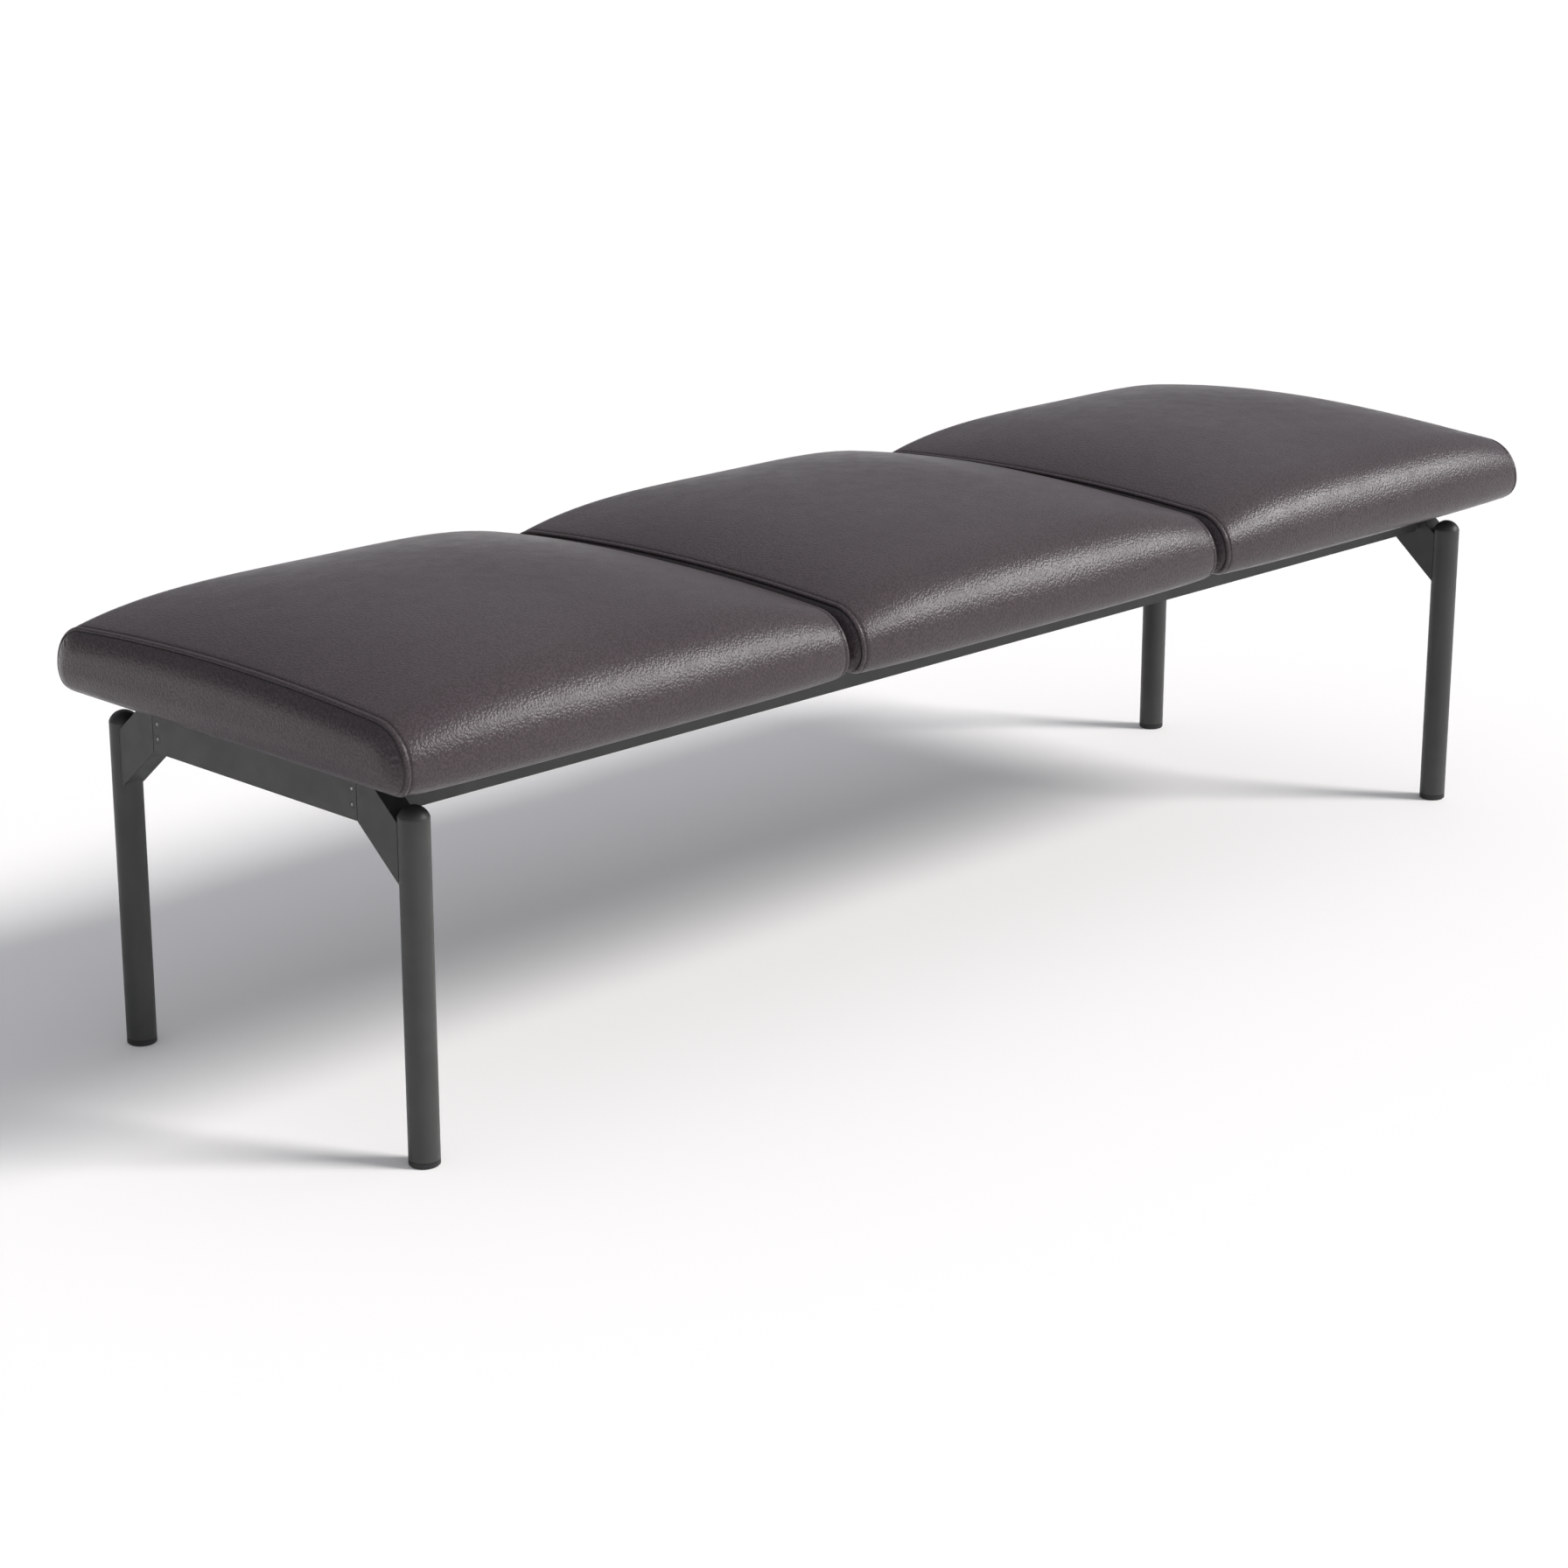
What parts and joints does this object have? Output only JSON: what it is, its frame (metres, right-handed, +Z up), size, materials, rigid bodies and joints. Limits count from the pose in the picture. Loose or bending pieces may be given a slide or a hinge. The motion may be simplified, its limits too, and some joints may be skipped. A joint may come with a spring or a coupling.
{
  "type": "waiting room bench",
  "caption": "Backless waiting room bench: crowned leather seats in a row on a dark round-legged steel frame with sloping corner brackets and screw-in levelling glides.",
  "frame": {"origin": "On the floor, under the middle of the three seats; the leg frame stands 15 mm further to the rear.", "axes": "+X along the bench, to the right as seen from the front; +Y from front to rear; +Z up."},
  "size_m": [1.719, 0.542, 0.482],
  "materials": {
    "frame_coat": "satin",
    "screw_steel": "satin",
    "zinc_steel": "satin",
    "glide_plastic": "matte",
    "insert_plastic": "matte",
    "seat_leather": "satin",
    "seat_foam": "matte",
    "seat_plywood": "matte",
    "dust_cloth": "matte"
  },
  "bodies": {
    "bench_frame": {"corner_bracket_front_left": "frame_coat", "corner_bracket_front_right": "frame_coat", "corner_bracket_rear_left": "frame_coat", "corner_bracket_rear_right": "frame_coat", "end_rail_left": "frame_coat", "end_rail_right": "frame_coat", "end_rail_screws_left": "screw_steel", "end_rail_screws_right": "screw_steel", "end_rail_tongues_left": "frame_coat", "end_rail_tongues_right": "frame_coat", "leg_cap_front_left": "frame_coat", "leg_cap_front_right": "frame_coat", "leg_cap_rear_left": "frame_coat", "leg_cap_rear_right": "frame_coat", "leg_insert_front_left": "insert_plastic", "leg_insert_front_right": "insert_plastic", "leg_insert_rear_left": "insert_plastic", "leg_insert_rear_right": "insert_plastic", "leg_tube_front_left": "frame_coat", "leg_tube_front_right": "frame_coat", "leg_tube_rear_left": "frame_coat", "leg_tube_rear_right": "frame_coat", "long_rail_front": "frame_coat", "long_rail_rear": "frame_coat", "long_rail_screws_front": "screw_steel", "long_rail_screws_rear": "screw_steel", "long_rail_stubs_front": "frame_coat", "long_rail_stubs_rear": "frame_coat", "seat_board_centre": "seat_plywood", "seat_board_left": "seat_plywood", "seat_board_right": "seat_plywood", "seat_cover_centre": "seat_leather", "seat_cover_left": "seat_leather", "seat_cover_right": "seat_leather", "seat_dust_cover_centre": "dust_cloth", "seat_dust_cover_left": "dust_cloth", "seat_dust_cover_right": "dust_cloth", "seat_end_panels_centre": "seat_leather", "seat_end_panels_left": "seat_leather", "seat_end_panels_right": "seat_leather", "seat_foam_centre": "seat_foam", "seat_foam_left": "seat_foam", "seat_foam_right": "seat_foam", "seat_screws_centre": "zinc_steel", "seat_screws_left": "zinc_steel", "seat_screws_right": "zinc_steel", "seat_tee_nuts_centre": "zinc_steel", "seat_tee_nuts_left": "zinc_steel", "seat_tee_nuts_right": "zinc_steel"},
    "glide_front_left": {"glide_pad_front_left": "glide_plastic", "glide_stud_front_left": "zinc_steel"},
    "glide_front_right": {"glide_pad_front_right": "glide_plastic", "glide_stud_front_right": "zinc_steel"},
    "glide_rear_left": {"glide_pad_rear_left": "glide_plastic", "glide_stud_rear_left": "zinc_steel"},
    "glide_rear_right": {"glide_pad_rear_right": "glide_plastic", "glide_stud_rear_right": "zinc_steel"}
  },
  "joints": [
    {"name": "glide_front_left_level", "type": "slide", "parent": "bench_frame", "child": "glide_front_left", "axis": [0, 0, -1], "range_m": [0, 0.01]},
    {"name": "glide_front_right_level", "type": "slide", "parent": "bench_frame", "child": "glide_front_right", "axis": [0, 0, -1], "range_m": [0, 0.01]},
    {"name": "glide_rear_left_level", "type": "slide", "parent": "bench_frame", "child": "glide_rear_left", "axis": [0, 0, -1], "range_m": [0, 0.01]},
    {"name": "glide_rear_right_level", "type": "slide", "parent": "bench_frame", "child": "glide_rear_right", "axis": [0, 0, -1], "range_m": [0, 0.01]}
  ]
}
